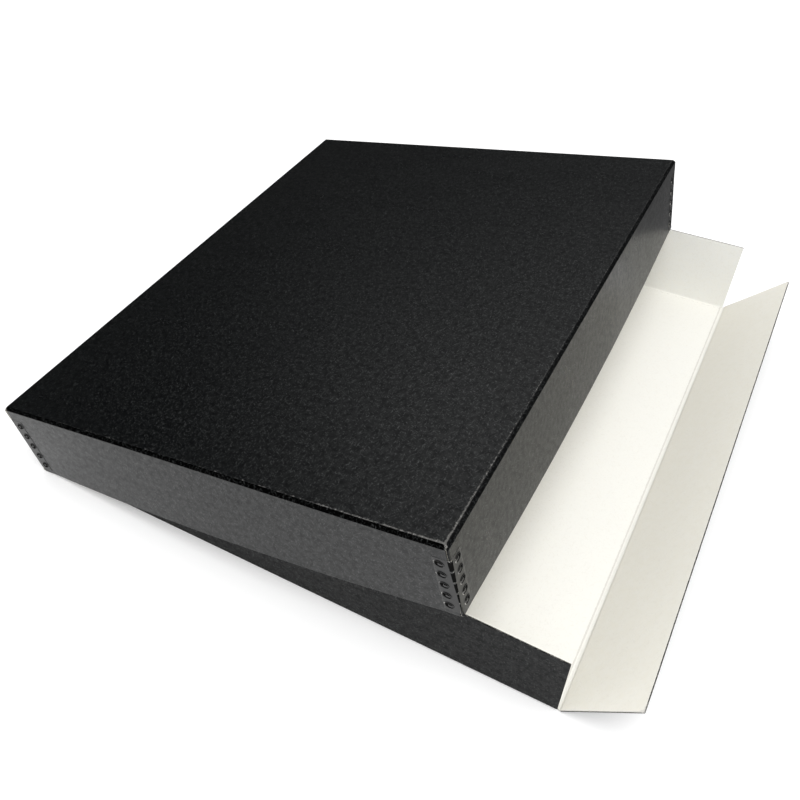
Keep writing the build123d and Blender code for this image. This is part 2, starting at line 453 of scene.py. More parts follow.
def spread(start, end, step, close_start=(), close_end=()):
    """Places from start to end about one step apart, with extra ones at these distances from each end."""
    close = [start + d for d in close_start] + [end - d for d in close_end]
    low = max([start, *[start + d for d in close_start]])
    high = min([end, *[end - d for d in close_end]])
    count = max(2, round((high - low) / step))
    return sorted({round(p, 7) for p in close + [low + (high - low) * k / count for k in range(count + 1)]})


def near(distance, width):
    """1 where the distance is 0, and next to nothing a few widths away on either side."""
    return math.exp(-((distance / width) ** 2))


def fading(distance, reach):
    """1 where the distance is 0, fading quickly at first and then slowly."""
    return math.exp(-distance / reach)


def bead(run):
    """How far the crease's bead stands out of the liner at this distance from the middle of the fold."""
    return bead_rise * near(run, bead_reach)


def fold_reach(out, up, depth, rise):
    """How far from the middle of the fold's bend the board lies this way: crushed to a bevel outside."""
    outside = (2 * fold_radius - fold_bevel) / (out + up)
    return outside + (fold_inside - rise - outside) * depth / board


def fold_dip(gap, depth):
    """How far the bevel cuts into the flat of the board at this distance from the bend."""
    return max(0, fold_bevel - fold_radius - gap) * (1 - depth / board)


def softened(edge, depth, radius):
    """Moves a point near a cut edge onto a rounding of this radius."""
    reach = math.hypot(radius - edge, radius - depth)
    if edge >= radius or depth >= radius or reach <= radius:
        return edge, depth
    return radius - (radius - edge) * radius / reach, radius - (radius - depth) * radius / reach


def rounded_cut(edge, depth, radius):
    """The same on both faces of the board at once."""
    edge, depth = softened(edge, depth, radius)
    edge, rest = softened(edge, board - depth, cut_edge_radius)
    return edge, board - rest


def wave(place, size, amount):
    """The slight unevenness of a panel of board."""
    return amount * noise.noise(Vector(place) / size)


def board_piece(name, rows, columns, point, black_row=paper_layers, black_column=paper_layers):
    """A closed piece of board. `point` gives, for a row, a column and a depth below the black paper, the
    place, the place on the flat blank, its mark of wear and painted light, and the exact normal at a fold's
    middle or None.
    `black_row` and `black_column` say how many layers the black covers on the cut ends."""
    shell = bmesh.new()
    sheet = shell.verts.layers.float_vector.new("sheet")
    wear_light = shell.verts.layers.float.new("wear_light")
    made, exact = {}, {}
    last = len(layer_depths) - 1

    def corner(i, j, k):
        if (i, j, k) not in made:
            place, blank, wear_and_light, normal = point(i, j, layer_depths[k])
            vertex = shell.verts.new(place)
            vertex[sheet] = blank
            vertex[wear_light] = wear_and_light
            made[i, j, k] = vertex
            if normal is not None and k in (0, last):
                exact[vertex] = normal if k == 0 else -normal
        return made[i, j, k]

    def face(material, *corners):
        quad = shell.faces.new([corner(*c) for c in corners])
        quad.material_index = material
        quad.smooth = True

    for i in range(rows - 1):
        for j in range(columns - 1):
            face(0, (i, j, 0), (i + 1, j, 0), (i + 1, j + 1, 0), (i, j + 1, 0))
            face(1, (i, j, last), (i, j + 1, last), (i + 1, j + 1, last), (i + 1, j, last))
    for k in range(last):
        inner = 2 if k < core_layers else 1
        for i in range(rows - 1):
            for j in (0, columns - 1):
                material = 0 if k < black_column else inner
                face(material, (i, j, k), (i + 1, j, k), (i + 1, j, k + 1), (i, j, k + 1))
        for j in range(columns - 1):
            for i in (0, rows - 1):
                material = 0 if k < black_row else inner
                face(material, (i, j, k), (i, j + 1, k), (i, j + 1, k + 1), (i, j, k + 1))
    bmesh.ops.recalc_face_normals(shell, faces=shell.faces)
    shell.verts.index_update()
    normals = [Vector((0, 0, 0))] * len(shell.verts)
    for vertex, normal in exact.items():
        normals[vertex.index] = normal
    mesh = bpy.data.meshes.new(name)
    shell.to_mesh(mesh)
    shell.free()
    mesh.set_sharp_from_angle(angle=math.radians(32))
    mesh.normals_split_custom_set_from_vertices([tuple(n) for n in normals])
    paper, liner = (lid_paper, lid_liner) if name.startswith("lid") else (tray_paper, tray_liner)
    for finish in (paper, liner, pale_core):
        mesh.materials.append(finish)
    return put(name, mesh)


def panel_lines(low, high, low_fold, high_fold):
    """Lines across a panel as (place, fold angle), with half a fold at the ends that have one."""
    turns = [math.radians(45) * k / fold_steps for k in range(1, fold_steps + 1)]
    close_low, close_high = [near_fold if folded else near_cut for folded in (low_fold, high_fold)]
    places = spread(low, high, panel_step, close_low, close_high)
    lines = [(p, 0.0) for p in places]
    if low_fold:
        lines = [(low, -t) for t in reversed(turns)] + lines
    if high_fold:
        lines += [(high, t) for t in turns]
    return lines


def creased_panel(name, x_range, y_range, folds, place, unevenness):
    """A panel with half a fold on each side in `folds`, its black paper down. `place` sets it up."""
    x_lines = panel_lines(*x_range, "back" in folds, "front" in folds)
    y_lines = panel_lines(*y_range, "left" in folds, "right" in folds)

    def point(i, j, depth):
        (x, x_turn), (y, y_turn) = x_lines[i], y_lines[j]
        out = Vector((math.tan(x_turn), math.tan(y_turn), -1)).normalized()
        to_folds = []
        for side, gap, turn in (
            ("back", x - x_range[0], x_turn), ("front", x_range[1] - x, x_turn),
            ("left", y - y_range[0], y_turn), ("right", y_range[1] - y, y_turn),
        ):
            if side in folds:
                bent = abs(turn) / math.radians(45) if gap < 1e-9 else 0
                to_folds.append(gap + half_fold_run * (1 - bent))
        run = min(to_folds)
        flat_gap = run - half_fold_run
        near_two = sorted(to_folds)[1] if len(to_folds) > 1 else 1
        rise = bead(run)
        lift = wave((x, y, 0.3), 0.09, unevenness) * min(1, run / held_flat)
        if x_turn or y_turn:
            reach = fold_reach(math.hypot(out.x, out.y), -out.z, depth, rise)
        else:
            reach = fold_radius - depth - rise * depth / board - fold_dip(flat_gap, depth)
        local = Vector((x, y, fold_radius)) + out * reach + Vector((0, 0, abs(lift)))
        blank = (x + x_turn * (fold_inside + board / 2), y + y_turn * (fold_inside + board / 2), depth)
        side_gap = min(y - y_range[0], y_range[1] - y)
        handled = fading(math.hypot(x_range[1] - x, side_gap), handled_reach)
        gripped = fading(math.hypot(x_range[1] - x, y_range[1] - y), gripped_reach)
        # A lighter line along each fold: wear, and a painted highlight on the fold's ridge.
        line_width = wear_and_highlight_width + gripped_line_width * gripped
        wear_and_light = (0.66 + 0.48 * gripped) * near(flat_gap - wear_and_highlight_line, line_width)
        wear_and_light += 0.3 * gripped * fading(max(0, flat_gap), gripped_fade)
        wear_and_light += (0.6 + 1.4 * handled) * fading(run + near_two, worn_corner)
        # Beside a fold the black is painted dark as painted shade, except at a torn corner.
        if flat_gap < shaded_fold_reach:
            at_side = side_gap < min(x - x_range[0], x_range[1] - x)
            fold_shade = side_fold_shade if at_side else cross_fold_shade
            wear_and_light = wear_and_light - 0.5 if wear_and_light > 1.8 else fold_shade
        # On the liner side only a grey line beside each fold is marked, as painted shade from the crease;
        # the tray floor gets a darker one beside the front crease.
        if depth > board / 2:
            wear_and_light = near(run - liner_shade_line, liner_shade_line_width)
            if "front" not in folds:
                wear_and_light += 2.2 * near(x_range[1] - x - torn_edge_and_shade_line, torn_edge_and_shade_line)
        at_seam = max(abs(x_turn), abs(y_turn)) > math.radians(44.9)
        normal = (place.to_3x3() @ out).normalized() if at_seam else None
        return place @ local, blank, min(wear_and_light, 3.2), normal

    return board_piece(name, len(x_lines), len(y_lines), point)


tray_floor = creased_panel(
    "tray_floor",
    (fold_radius - tray_width / 2, crease_x - crease_half),
    (fold_radius - tray_length / 2, tray_length / 2 - fold_radius),
    ("back", "left", "right"),
    Matrix.Identity(4),
    0.00012,
)
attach(tray_floor, "tray")
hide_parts("base_floor")


# ------------------------------------------------------------
# Tray walls. The back wall and the two side walls fold up from the floor. A metal stay holds each
# side wall upright at the back, and towards the open front its top leans out a little.
# ------------------------------------------------------------
tray_wall_height = 0.0762 + board
closing_gap = 0.0004
side_wall_end = tray_width / 2 - board - closing_gap
stay_wing = 0.014
seat_margin = 0.001
stay_inset = 0.0045
stay_pitch = 0.012
stay_teeth = 5
seat_length = stay_wing + seat_margin - fold_radius
end_lines = (0, 0.00012, 0.0003, 0.0006, 0.001, 0.00145, 0.002, 0.0032, 0.0055)
free_edge_lines = (*near_cut, 0.004)
butt_overlap = fold_radius - 0.00005
folded_corner_radius = 0.0019
stayed_corner_radius = 0.00142
bare_corner_radius = 0.0003
wall_corner_radius = 0.0009
edge_wear = 0.0008
worn_foot = 0.002
corner_margin = 0.0012
closed_corner = 0.0016
closed_corner_shade = -0.75
nicked_band = 0.001


def edge_nick(from_edge, ripple, ripple_place, dent, dent_place, dent_least):
    """How far a cut edge is worn in here: a slight ripple all along it, and dents here and there."""
    if from_edge >= nicked_band:
        return 0.0
    dents = max(0, noise.noise(Vector(dent_place)) - dent_least)
    return ripple * noise.noise(Vector(ripple_place)) + dent * dents


def wall_piece(name, length, height, lean, place, blank_place, ends):
    """A wall that runs along +X, faces +Y and rises from the middle of its fold to its free edge; on the
    flat blank it folds at `blank_place`. Each of `ends` is "butt" where it closes a corner, or "cut"."""
    start = -butt_overlap if ends[0] == "butt" else 0.0
    end = length + butt_overlap if ends[1] == "butt" else length
    columns = spread(start, end, panel_step, end_lines, end_lines)
    turns = [-math.radians(45) * (1 - k / fold_steps) for k in range(fold_steps)]
    levels = spread(fold_radius, height, panel_step, (0, 0.0004, 0.0009, 0.0016, 0.0028), free_edge_lines)
    stations = [(fold_radius, t) for t in turns] + [(z, 0.0) for z in levels]
    stay_top = height - stay_inset
    stay_foot = stay_top - stay_teeth * stay_pitch

    def point(i, j, depth):
        z, turn = stations[i]
        u = columns[j]
        run = half_fold_run * (1 + turn / math.radians(45)) + z - fold_radius
        blank_u = u
        from_end = min(u - start, end - u)
        from_top = height - z
        rise = bead(run)
        butt = ends[0] == "butt" and u < length / 2 or ends[1] == "butt" and u > length / 2
        if butt and z - shaded_fold_reach < fold_radius:
            end_radius = folded_corner_radius
        elif butt and stay_foot - seat_margin < z < stay_top + seat_margin:
            end_radius = stayed_corner_radius
        else:
            end_radius = bare_corner_radius if butt else cut_edge_radius
        ripple_place, dent_place = (u * 90, height * 7, 0.5), (u * 260, 3.1, height * 9)
        nick = edge_nick(from_top, 0.00006, ripple_place, 0.00016, dent_place, 0.42)
        new_end, new_depth = rounded_cut(from_end, depth, end_radius)
        new_top, new_depth = rounded_cut(from_top, new_depth, cut_edge_radius)
        new_end, new_top = softened(new_end, new_top, wall_corner_radius)
        u += (new_end - from_end) * (1 if u < length / 2 else -1)
        if turn == 0.0:
            z -= new_top - from_top + nick
        share = max(0, z - fold_radius) / (height - fold_radius)
        held = min(1, max(0, from_end - seat_length) / held_flat)
        out = lean(min(max(u, 0), length)) * share
        out += wave((u, z, height * 11), 0.05, 0.00015) * share * held
        if turn:
            reach = fold_reach(math.cos(turn), -math.sin(turn), new_depth, rise)
        else:
            reach = fold_radius - new_depth - rise * new_depth / board - fold_dip(z - fold_radius, new_depth)
        local = Vector((u, -fold_radius + reach * math.cos(turn) + out, z + reach * math.sin(turn)))
        flat = blank_place @ Vector((blank_u, -fold_radius + half_fold_run + run, 0))
        wear_and_light = 0.8 * fading(from_top, edge_wear) + 0.4 * fading(from_end, edge_wear)
        wear_and_light += 0.7 * fading(run + from_end, worn_foot)
        # Along the fold the black is painted dark as painted shade.
        if z < fold_radius + shaded_fold_reach and from_end > corner_margin:
            wear_and_light = cross_fold_shade if butt else side_fold_shade
        # Beside a closed corner the black is painted darker, as painted shade in the joint.
        elif butt and from_end < closed_corner and corner_margin < z - fold_radius and z < stay_top:
            wear_and_light = closed_corner_shade
        normal = None
        if i == 0:
            normal = (place.to_3x3() @ Vector((0, math.cos(turn), math.sin(turn)))).normalized()
        return place @ local, (flat.x, flat.y, new_depth), min(wear_and_light, 2.2), normal

    # On ends that close a corner the black reaches one layer deeper into the cut edge, as painted shade in
    # the gap between the walls.
    black_column = core_layers if "butt" in ends else core_layers - 1
    return board_piece(name, len(stations), len(columns), point, core_layers - 1, black_column)


def upright_places(width, length):
    """Where the four walls of an upright tray stand: X runs along each wall and Y faces out."""
    x, y = width / 2, length / 2
    places = {}
    for side, origin, along in (
        ("back", (-x, fold_radius - y, 0), (0, 1, 0)),
        ("front", (x, y - fold_radius, 0), (0, -1, 0)),
        ("left", (x - fold_radius, -y, 0), (-1, 0, 0)),
        ("right", (fold_radius - x, y, 0), (1, 0, 0)),
    ):
        along = Vector(along)
        out = Vector((0, 0, 1)).cross(along)
        places[side] = Matrix.Translation(origin) @ Matrix((along, out, (0, 0, 1))).transposed().to_4x4()
    return places


tray_places = upright_places(tray_width, tray_length)
across_y = Matrix.Diagonal((1, -1, 1, 1))
lid_rest_x = 0.13048
lid_gap = 0.003
lean_clearance = 0.0009


def side_lean(u):
    """How far the top of a side wall leans out: more and more beyond its stay."""
    rest = lid_rest_x + tray_width / 2 - fold_radius
    return (lid_gap - lean_clearance) * (max(0, u - seat_length) / (rest - seat_length)) ** 2


side_length = side_wall_end + tray_width / 2 - fold_radius
for node, place, length, lean, ends in (
    ("base_back_wall", tray_places["back"], tray_length - 2 * fold_radius, lambda u: 0.0, ("butt", "butt")),
    ("base_right_wall", tray_places["right"], side_length, side_lean, ("cut", "cut")),
    ("base_left_wall", across_y @ tray_places["right"], side_length, side_lean, ("cut", "cut")),
):
    wall = wall_piece(node.replace("base_", "tray_"), length, tray_wall_height, lean, place, place, ends)
    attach(wall, "tray")
    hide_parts(node)


# ------------------------------------------------------------
# Drop front. The fourth wall of the tray, on a crease that is never held by stays, so that it
# falls open. It is a plain panel of the same board, as long as the tray.
# ------------------------------------------------------------
front_height = 0.075
front_angle = math.radians(45.7)
front_corner_radius = 0.0011
knocked_corner = 0.004
front_place = Matrix.Translation((crease_x, 0, crease_z)) @ Matrix.Rotation(-front_angle, 4, "Y")

front_rows = spread(crease_half, front_height, panel_step, (0, 0.001), free_edge_lines)
front_columns = spread(-tray_length / 2, tray_length / 2, panel_step, end_lines, end_lines)


def front_point(i, j, depth):
    out, y = front_rows[i], front_columns[j]
    from_end = tray_length / 2 - abs(y)
    from_top = front_height - out
    nick = edge_nick(from_top, 0.00007, (y * 90, 5.7, 0.5), 0.0002, (y * 240, 8.1, 2), 0.4)
    new_end, new_depth = rounded_cut(from_end, depth, cut_edge_radius)
    new_top, new_depth = rounded_cut(from_top, new_depth, cut_edge_radius)
    new_end, new_top = softened(new_end, new_top, front_corner_radius)
    new_y = y - math.copysign(new_end - from_end, y)
    new_out = out - (new_top - from_top) - nick
    swell = wave((out, y, 4), 0.07, 0.0002) * min(1, out / 0.02)
    local = Vector((new_out, new_y, -board / 2 + new_depth + swell))
    blank = (crease_x + out, y, new_depth)
    wear_and_light = 0.9 * fading(from_top, edge_wear) + 2.15 * fading(from_end, torn_edge_and_shade_line)
    wear_and_light += 1.2 * fading(from_top + from_end, knocked_corner)
    return front_place @ local, blank, min(wear_and_light, 2.6), None


drop_front = board_piece(
    "drop_front_panel", len(front_rows), len(front_columns), front_point, core_layers + 1, core_layers + 1
)
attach(drop_front, "front")
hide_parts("drop_front")


# ------------------------------------------------------------
# Front crease. The pressed line across the blank between the floor and the drop front, where the
# board bends. Its bead stands up inside, and the black paper runs unbroken round the outside.
# ------------------------------------------------------------
crease_arc = 0.0014
crease_tangent = crease_arc * math.tan(front_angle / 2)
crease_bead = 0.00042
crease_bead_reach = 0.0011
crease_steps = 12
crease_runs = [crease_half * (k / crease_steps - 1) for k in range(2 * crease_steps + 1)]
crease_ends = (0, 0.0003, 0.001)
crease_columns = spread(-1.0, 1.0, 0.012, crease_ends, crease_ends)


def crease_point(i, j, depth):
    run, y = crease_runs[i], crease_columns[j]
    share = (run + crease_half) / (2 * crease_half)
    half_length = tray_length / 2 - fold_radius * (1 - share)
    arc_half = crease_arc * front_angle / 2
    turn = front_angle / 2 * (1 + max(-1, min(1, run / arc_half)))
    if abs(run) < arc_half:
        behind = turn - front_angle / 2
        middle = Vector((math.sin(behind), 0, 1 / math.cos(front_angle / 2) - math.cos(behind))) * crease_arc
        middle = Matrix.Rotation(-front_angle / 2, 3, "Y") @ middle
    else:
        beyond = abs(run) - arc_half + crease_tangent
        middle = Vector((-1, 0, 0) if run < 0 else (math.cos(front_angle), 0, math.sin(front_angle)))
        middle *= beyond
    up = Vector((-math.sin(turn), 0, math.cos(turn)))
    fade = math.cos(math.pi / 2 * run / crease_half) ** 2
    rise = crease_bead * near(run, crease_bead_reach) * fade * depth / board
    local = middle + up * (depth - board / 2 + rise) + Vector((0, y * half_length, 0))
    wear_and_light = fading(abs(run), edge_wear) if depth < board / 2 else 0.0
    return Vector((crease_x, 0, crease_z)) + local, (crease_x + run, y * half_length, depth), wear_and_light, None


front_crease = board_piece("front_crease", len(crease_runs), len(crease_columns), crease_point)
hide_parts("base_floor")
crease_reach = crease_half * 0.9
crease_end = Vector((math.cos(front_angle), 0, math.sin(front_angle))) * crease_reach
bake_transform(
    front_crease, "tray", "front",
    start=(crease_x - crease_reach, 0, crease_z),
    end=(crease_x + crease_end.x, 0, crease_z + crease_end.z),
)


# ------------------------------------------------------------
# Lid panel. The top of the full-depth lid, creased on all four sides. The lid stands askew: its
# back edge is on the table behind the tray, and its front wall rests on the tray's side walls.
# ------------------------------------------------------------
lid_lift = 0.0012
lid_setback = 0.081
rest_gap = 0.0003
settle_out = 0.0027
settle_back = 0.22
settle_across = 0.1
lid_length = tray_length + 2 * (lid_gap + board)
lid_width = tray_width + 2 * (lid_gap + board)
lid_depth = tray_wall_height + board - lid_lift
lid_back_bow = 0.002
lid_rise = (tray_wall_height + rest_gap) / (lid_width - board + lid_back_bow)
lid_tilt = math.asin(lid_rise)
lid_stand = (
    Matrix.Translation((-tray_width / 2 - lid_setback, 0, lid_back_bow * lid_rise))
    @ Matrix.Rotation(-lid_tilt, 4, "Y")
    @ Matrix.Translation((lid_width / 2, 0, lid_depth))
    @ Matrix.Rotation(math.pi, 4, "X")
)


def settle(piece):
    """Leans the top of the left wall out a little towards the corner that the lid is picked up by."""
    for vertex in piece.data.vertices:
        place = lid_stand.inverted() @ vertex.co
        back = (lid_width / 2 - place.x) / settle_back
        across = (lid_length / 2 - place.y) / settle_across
        place.y += settle_out * near(math.hypot(back, across), 1) * (1 - place.z / lid_depth)
        vertex.co = lid_stand @ place


lid_panel = creased_panel(
    "lid_panel",
    (fold_radius - lid_width / 2, lid_width / 2 - fold_radius),
    (fold_radius - lid_length / 2, lid_length / 2 - fold_radius),
    ("back", "front", "left", "right"),
    lid_stand,
    0.0002,
)
settle(lid_panel)
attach(lid_panel, "lid")
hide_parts("lid_top_panel")


# ------------------------------------------------------------
# Lid walls. Four walls folded down from the panel. The stays hold their corners square, and the
# board's own spring bellies the free edges out between them.
# ------------------------------------------------------------
lid_front_bow = 0.0046
lid_side_bow = 0.0056
lid_places = upright_places(lid_width, lid_length)


def bellied(length, bow):
    """How far the free edge of a wall this long stands out: nothing at the stays, `bow` in the middle."""
    chord = length / 2 - seat_length
    arc_radius = (chord ** 2 + bow ** 2) / (2 * bow)

    def out(u):
        from_middle = min(abs(u - length / 2), chord)
        return math.sqrt(arc_radius ** 2 - from_middle ** 2) - (arc_radius - bow)

    return out


for node, side, outer_length, bow, ends in (
    ("lid_front_wall", "front", lid_length, lid_front_bow, ("butt", "butt")),
    ("lid_back_wall", "back", lid_length, lid_back_bow, ("butt", "butt")),
    ("lid_left_wall", "right", lid_width, lid_side_bow, ("cut", "cut")),
    ("lid_right_wall", "left", lid_width, lid_side_bow, ("cut", "cut")),
):
    run_length = outer_length - 2 * fold_radius
    wall = wall_piece(
        node.replace("lid_", "lid_board_"), run_length, lid_depth, bellied(run_length, bow),
        lid_stand @ lid_places[side], lid_places[side], ends,
    )
    settle(wall)
    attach(wall, "lid")
    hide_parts(node)


# ------------------------------------------------------------
# Metal stays. Black-painted steel strip, 0.3 mm thick, folded round a corner. Each prong is
# punched from the strip, curves in through the board and is clinched flat on the cream side.
# ------------------------------------------------------------
steel = 0.0003
proud = 0.00014
window_centre = 0.0091
window_half_length = 0.0033
window_half_width = 0.0027
window_tilt = math.radians(-22)
rim_rise = 0.00045
slot_depth = 0.00022
slot_side = 0.001
slot_bottom = 0.00004
slot_squeezed = 0.08
crimp_half = 0.0009
bend_half = board * math.pi / 4
bend_edge = 0.0027

painted_steel, nodes, principled = new_finish("painted_steel")
place = nodes.new("ShaderNodeTexCoord").outputs["Object"]
mottle = noise_node(nodes, place, 500, 4.0)
# Where the paint has wear, bare steel shows; the same mask also paints highlights on the strip's rims,
# crimps and bend.
wear_light_level = wear_light_mask(nodes, place, 900)
mottled = ramp_node(nodes, mottle, 0.35, 0.65)
colour = colour_mix(nodes, mottled, (0.005, 0.0052, 0.0052), (0.01, 0.0104, 0.0102))
feed(nodes, principled, {
    "Base Color": colour_mix(nodes, wear_light_level, colour, (0.5, 0.49, 0.47)),
    "Metallic": value_node(nodes, "MULTIPLY", wear_light_level, 0.85),
    "Roughness": weighed(nodes, 0.28, (mottle, 0.14)),
    "Specular IOR Level": 0.36,
    "Normal": bump_node(nodes, noise_node(nodes, place, 1500, 2.0), 0.00003),
})

# Painted shade: a near-black matt finish put in the windows, on the slot bottoms along the bend and on the
# strip's edges, where the holes and gaps lie in shadow.
painted_hole_shade, nodes, principled = new_finish("painted_hole_shade")
pulp = noise_node(nodes, nodes.new("ShaderNodeTexCoord").outputs["Object"], 3000, 2.0)
colour = colour_mix(nodes, pulp, (0.002, 0.002, 0.002), (0.007, 0.007, 0.0065))
feed(nodes, principled, {"Base Color": colour, "Roughness": 0.9, "Specular IOR Level": 0.05})

wing_levels = [k * stay_pitch for k in (0.5, 0.47, 0.425, 0.39, 0.3, 0.15)]
wing_levels = [-z for z in wing_levels] + [0.0] + list(reversed(wing_levels))
wing_places = [bend_edge, 0.0045, 0.0073, 0.0091, 0.0109, 0.0126, 0.0139]
bend_runs = [bend_half + d for d in (0, 0.00097, 0.00105, bend_edge - board)]
bend_runs = [-r for r in reversed(bend_runs)] + [bend_half * k for k in (-0.5, 0, 0.5)] + bend_runs

stay_shell = bmesh.new()
stay_wear_light = stay_shell.verts.layers.float.new("wear_light")


def strip_vertex(place, wear_and_light):
    vertex = stay_shell.verts.new(place)
    vertex[stay_wear_light] = wear_and_light
    return vertex


def wing_vertex(mirrored_wing, a, z, stand, wear_and_light):
    """A vertex on a wing: `a` from the corner, `z` along it, and `stand` proud of the board."""
    return strip_vertex((-stand, a, z) if mirrored_wing else (a, -stand, z), wear_and_light)


def round_bend(run, stand):
    """The place this far round the bend from its middle, `stand` proud of the board."""
    if abs(run) > bend_half:
        a = board + abs(run) - bend_half
        return (-stand, a) if run > 0 else (a, -stand)
    turn = math.radians(45) + run / board
    return board - (board + stand) * math.sin(turn), board - (board + stand) * math.cos(turn)


def slotted(z, run):
    """How deep the slot along the bend is here: nothing at its sides and at the crimps across it."""
    inside = abs(z) < stay_pitch / 2 - crimp_half and abs(run) < bend_half + slot_side
    return slot_depth if inside else 0.0


def quads(*loops, finish=0):
    """Joins loops or chains of vertices of the same length with quads."""
    for one, two in zip(loops, loops[1:]):
        for k in range(len(one) - 1):
            stay_shell.faces.new((one[k], one[k + 1], two[k + 1], two[k])).material_index = finish


for mirrored_wing in (False, True):
    outline = [(bend_edge, z) for z in wing_levels]
    outline += [(a, stay_pitch / 2) for a in wing_places[1:]]
    outline += [(wing_places[-1], z) for z in reversed(wing_levels[:-1])]
    outline += [(a, -stay_pitch / 2) for a in reversed(wing_places[:-1])]
    window = []
    for a, z in outline:
        angle = math.atan2(z, a - window_centre)
        bare = angle - window_tilt
        reach = 1 / math.hypot(math.cos(bare) / window_half_length, math.sin(bare) / window_half_width)
        window.append((angle, reach))

    # Painted highlight: the rims are marked lighter on one side, standing in for the light that the raised
    # rim catches.
    highlight_side = math.radians(165 if mirrored_wing else -10)

    def ring(extra, stand, wear_and_light, highlight_amount=0.0):
        made = []
        for t, r in window[:-1]:
            a, z = window_centre + (r + extra) * math.cos(t), (r + extra) * math.sin(t)
            rim_highlight = highlight_amount * max(0, math.cos(t - highlight_side)) ** 2
            made.append(wing_vertex(mirrored_wing, a, z, stand, wear_and_light + rim_highlight))
        return made + made[:1]

    def border(stand, edge):
        places = [(edge if a == wing_places[-1] else a, z) for a, z in outline[:-1]]
        made = [wing_vertex(mirrored_wing, a, z, stand, 0.0) for a, z in places]
        return made + made[:1]

    outer = border(proud, wing_places[-1])
    inner = border(0.0, stay_wing)
    hole = ring(-0.00012, 0.00008, 0.0)
    quads(
        outer,
        ring(0.0013, proud, 0.0, 0.4),
        ring(0.0009, proud, 0.0, 1.0),
        ring(0.0005, proud + rim_rise, 0.2, 0.8),
        ring(0.0002, proud + rim_rise, 0.1, 0.4),
        ring(0, proud, 0.0),
    )
    # The window's inside and floor get the near-black painted shade.
    quads(ring(0, proud, 0.0), hole, finish=1)
    pit = ring(-0.0012, 0.00004, 0.0)
    quads(hole, pit, finish=1)
    stay_shell.faces.new(pit[:-1]).material_index = 1
    stay_shell.faces.new(inner[:-1])
    first = len(wing_levels) + len(wing_places) - 2
    last = first + len(wing_levels)
    # The strip's outer edge gets the near-black painted shade too, so that it shows no highlight.
    edge = [wing_vertex(mirrored_wing, stay_wing, z, proud - 0.00006, 0.0) for z in reversed(wing_levels)]
    quads(outer[first:last], edge, inner[first:last], finish=1)

for stand in (proud, 0.0):
    chains = []
    for run in bend_runs:
        chain = []
        for z in wing_levels:
            out = max(slot_bottom, stand - slotted(z, run)) if stand else 0.0
            # The crimps are marked lighter: wear, and a painted highlight on the bend between the slots.
            at_crimp = stand and abs(z) >= stay_pitch / 2 - crimp_half and abs(run) < bend_half + slot_side
            chain.append(strip_vertex((*round_bend(run, out), z), 0.62 if at_crimp else 0.0))
        chains.append(chain)
    quads(*chains)

# The bottoms of the slots along the bend get the same near-black painted shade as the windows.
for face in stay_shell.faces:
    x, y, z = face.calc_center_median()
    out = math.hypot(board - x, board - y) if max(x, y) < board else board - min(x, y)
    if max(x, y) < bend_edge - 0.0001 and board + 0.00001 < out < board + 0.0001:
        face.material_index = 1

# The prong: from its root at the window's end nearest the corner, down, through and clinched.
prong_path = (
    (0.0062, -0.0001, 0.0007), (0.0068, 0.0001, 0.0009), (0.0075, 0.0003, 0.00095),
    (0.0083, 0.0004, 0.00095), (0.0091, 0.00038, 0.00095), (0.0097, 0.00022, 0.0009),
    (0.0101, -0.00015, 0.0009), (0.0102, -0.0006, 0.0009), (0.0102, -0.0012, 0.0009),
    (0.01, -0.00165, 0.0009), (0.0094, -0.00182, 0.0009), (0.0084, -0.00184, 0.0009),
    (0.0074, -0.00176, 0.0007), (0.0068, -0.00165, 0.0003),
)
for mirrored_wing in (False, True):
    rings = []
    for k, (a, stand, half_width) in enumerate(prong_path):
        before = prong_path[max(0, k - 1)]
        after = prong_path[min(len(prong_path) - 1, k + 1)]
        along = Vector((after[0] - before[0], after[1] - before[1])).normalized()
        off = Vector((-along.y, along.x)) * steel / 2
        ring_made = []
        for side, face in ((-1, 1), (1, 1), (1, -1), (-1, -1)):
            from_centre = Vector((a + off.x * face - window_centre, side * half_width))
            turned_a, turned_z = Matrix.Rotation(window_tilt, 2) @ from_centre
            wear_and_light = 0.3 if 1 < k < 5 else 0.0
            place = (turned_a + window_centre, turned_z, stand + off.y * face)
            ring_made.append(wing_vertex(mirrored_wing, *place, wear_and_light))
        rings.append(ring_made + ring_made[:1])
    quads(*rings)
    stay_shell.faces.new(rings[0][:4])
    stay_shell.faces.new(list(reversed(rings[-1][:4])))

bmesh.ops.remove_doubles(stay_shell, verts=stay_shell.verts, dist=1e-6)
stay_step = bpy.data.meshes.new("stay_step")
stay_shell.to_mesh(stay_step)
stay_shell.free()
stay_step.materials.append(painted_steel)
stay_step.materials.append(painted_hole_shade)

